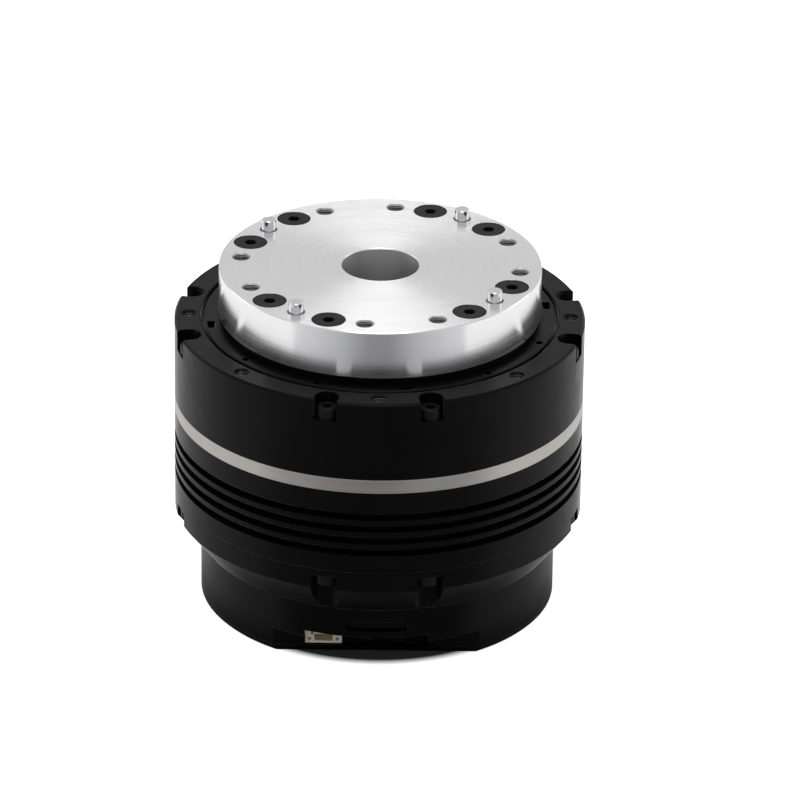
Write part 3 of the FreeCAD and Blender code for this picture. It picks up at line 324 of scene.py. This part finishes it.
def on_circle(centre, r, turn, z):
    return (centre[0] + r * math.cos(turn), centre[1] + r * math.sin(turn), z)


def line_holes(name, one_hole, circle_r, angles, material, body):
    """Puts the corners and faces that one_hole(centre) gives into every hole of a circle, as one piece."""
    corners, faces = [], []
    for angle in angles:
        start = len(corners)
        more_corners, more_faces = one_hole(on_circle((0, 0), circle_r, math.radians(angle), 0))
        corners += more_corners
        faces += [tuple(start + corner for corner in face) for face in more_faces]
    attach(new_mesh(name, corners, faces, material), body)


def thread(root_r, crest_r, pitch, top, bottom):
    """Helical thread that lines a hole, with a flat crest."""
    count = round((top - bottom) / pitch * steps)

    def one_hole(centre):
        corners = []
        for k in range(count + 1):
            z = top - pitch * k / steps
            for r, drop in ((root_r, 0.0), (crest_r, 0.42), (crest_r, 0.58), (root_r, 1.0)):
                corners.append(on_circle(centre, r, 2 * math.pi * k / steps, z - drop * pitch))
        faces = [(a, a + 4, a + 5, a + 1) for a in range(len(corners) - 4) if a % 4 < 3]
        return corners, faces
    return one_hole


def mouth(*outline):
    """Rings that line the mouth of a hole; outline is (radius, height) from the top down."""
    size = len(outline)

    def one_hole(centre):
        corners = [on_circle(centre, r, 2 * math.pi * k / steps, z)
                   for k in range(steps) for r, z in outline]
        faces = []
        for k in range(steps):
            for j in range(size - 1):
                a, b = size * k + j, size * ((k + 1) % steps) + j
                faces.append((a, b, b + 1, a + 1))
        return corners, faces
    return one_hole


m4_r = mounts["housing_tapped_holes"]["dims"]["hole_r_mm"] * mm
m5_r = mounts["output_tapped_holes"]["dims"]["hole_r_mm"] * mm
pin_r = mounts["output_pins"]["dims"]["stud_r_mm"] * mm
mouth_r = 2.47 * mm
face = flange_top - lining_gap
pin_angles = [output_turn + 45 + 90 * k for k in range(4)]
tap_angles = [angle + side for angle in pin_angles for side in (-30, 30)]
tap_circle_r = hole_circle("output_tapped_holes")
thread_look = metal("thread_look", (0.28, 0.28, 0.285), (0.36, 0.36, 0.365), (0.4, 0.5), turned=False)
bare_look = metal("bare_thread_look", (0.42, 0.42, 0.425), (0.54, 0.54, 0.545), (0.2, 0.3), turned=False)
line_holes("housing_threads",
           thread(m4_r - lining_gap, m4_r - 0.09 * mm, 0.7 * mm, rim_top - 0.55 * mm, rim_top - 7.7 * mm),
           hole_circle("housing_tapped_holes"), [45 * k for k in range(8)], bare_look, "housing")
line_holes("output_threads",
           thread(m5_r - lining_gap, m5_r - 0.14 * mm, 0.8 * mm,
                  flange_top - 0.5 * mm, flange_top - 10.7 * mm),
           tap_circle_r, tap_angles, thread_look, "output")
line_holes("tapped_mouths",
           mouth((mouth_r, face), (m5_r - 0.02 * mm, flange_top - 0.4 * mm),
                 (m5_r - 0.02 * mm, flange_top - 1.1 * mm)),
           tap_circle_r, tap_angles, thread_look, "output")
line_holes("pin_mouths", mouth((mouth_r, face), (pin_r + 0.02 * mm, flange_top - 0.46 * mm)),
           hole_circle("output_pins"), pin_angles, thread_look, "output")

# ------------------------------------------------------------------ floor, card and light
floor_size = 4.0
floor_gap = 0.05 * mm        # keeps the floor off the face that stands on it
floor_z = cad_box[0][2] - floor_gap
card_gap = 0.4 * mm          # between the floor and the card on it
white = (1, 1, 1, 1)


def floor_material():
    """White floor with a painted shade.

    All rays meet the shade right under the object's foot, and all but the camera's meet it around the foot.
    """
    s = Shader("floor_look", Roughness=0.9, Specular_IOR_Level=0.0)
    ray = s.node("ShaderNodeLightPath").outputs
    radius = s.radius()
    foot = s.span(radius, 0.012, 1.0, cover_r - 3.8 * mm, cover_r - 0.5 * mm)
    around = s.span(radius, 0.4, 1.0, cover_r + 1.2 * mm, cover_r + 13.2 * mm)
    shade = s.math("MULTIPLY", foot, s.math("MAXIMUM", around, ray["Is Camera Ray"]))
    s.colour(s.noise(8, 3), (0.80, 0.80, 0.80), (0.82, 0.82, 0.82), shade)
    mirrored = s.math("MULTIPLY", s.math("ADD", ray["Is Glossy Ray"], ray["Is Transmission Ray"]), 0.25)
    seen = s.math("ADD", s.math("MULTIPLY", ray["Is Camera Ray"], 0.8), mirrored)
    s.bsdf.inputs["Emission Color"].default_value = white
    s.link(s.math("MULTIPLY", seen, shade), s.bsdf.inputs["Emission Strength"])
    return s.material


def painted_shade_sheet_material():
    """Painted shade: dark in the middle and paler towards both sides."""
    s = Shader("painted_shade_sheet_look", Roughness=0.9, Specular_IOR_Level=0.0)
    # painted light: the sheet's shade is lighter towards both sides
    sides_painted_lighter = s.span(s.math("ABSOLUTE", s.axes()["X"]), 1.0, 3.4, 0.03, 0.27)
    s.colour(s.noise(12, 3), (0.26, 0.26, 0.27), (0.29, 0.29, 0.30), sides_painted_lighter)
    return s.material


def flat_piece(name, outline, z, material):
    corners = [(x, y, z) for x, y in outline]
    made = new_mesh(name, corners, [tuple(range(len(corners)))], material)
    return made


half = floor_size / 2
flat_piece("floor", [(-half, -half), (half, -half), (half, half), (-half, half)], floor_z, floor_material())

# a dark sheet in front of the object that holds painted shade for the metal to mirror; only mirror-like rays
# meet it
card_side = [(-0.04, -0.05), (-0.75, -0.38), (-0.6, -1.0)]
card = flat_piece("painted_shade_sheet", card_side + [(-x, y) for x, y in reversed(card_side)], floor_z + card_gap,
                  painted_shade_sheet_material())
card.visible_camera = False
card.visible_diffuse = False
card.visible_shadow = False

world = bpy.data.worlds.new("studio")
scene.world = world
world.use_nodes = True
tree = world.node_tree
background = tree.nodes["Background"]
background.inputs["Color"].default_value = white
ray = tree.nodes.new("ShaderNodeLightPath")
strength = tree.nodes.new("ShaderNodeMix")
strength.data_type = "FLOAT"
strength.inputs["A"].default_value = 0.7       # as light on the object
strength.inputs["B"].default_value = 1.0       # as the background that is seen
tree.links.new(ray.outputs["Is Camera Ray"], strength.inputs["Factor"])
tree.links.new(strength.outputs["Result"], background.inputs["Strength"])


def soft_lamp(name, place, size, watts):
    """Rectangular lamp that is turned towards the middle of the object."""
    data = bpy.data.lights.new(name, "AREA")
    data.shape = "RECTANGLE"
    data.size, data.size_y = size
    data.energy = watts
    lamp = bpy.data.objects.new(name, data)
    lamp.location = place
    lamp.rotation_euler = (middle - Vector(place)).to_track_quat("-Z", "Y").to_euler()
    scene.collection.objects.link(lamp)


middle = Vector((0, 0, 0.05))
soft_lamp("top_light", (0, -0.1, 1.1), (0.5, 0.9), 4.0)
soft_lamp("back_light", (0, 1.25, 1.06), (0.22, 0.22), 0.5)
for name, side in (("left_light", -1), ("right_light", 1)):
    soft_lamp(name, (side * 1.1, 0.35, 0.45), (0.8, 0.6), 1.6)

# ------------------------------------------------------------------ camera
lens, sensor_width = 288.0, 36.0      # in millimetres
clip_start = 0.01
camera_place = Vector((0.0, -1.5797, 0.8230))
camera_pitch, camera_yaw, camera_roll = 25.88, 0.21, 0.73

pitch, yaw, roll = (math.radians(a) for a in (camera_pitch, camera_yaw, camera_roll))
forward = Vector((math.sin(yaw) * math.cos(pitch), math.cos(yaw) * math.cos(pitch), -math.sin(pitch)))
level_right = forward.cross(Vector((0, 0, 1))).normalized()
level_up = level_right.cross(forward)
right = math.cos(roll) * level_right + math.sin(roll) * level_up
up = math.cos(roll) * level_up - math.sin(roll) * level_right
camera_data = bpy.data.cameras.new("camera")
camera_data.lens = lens
camera_data.sensor_width = sensor_width
camera_data.clip_start = clip_start
camera = bpy.data.objects.new("camera", camera_data)
camera.matrix_world = Matrix.Translation(camera_place) @ Matrix((right, up, -forward)).transposed().to_4x4()
scene.collection.objects.link(camera)
scene.camera = camera

# ------------------------------------------------------------------ close
import json
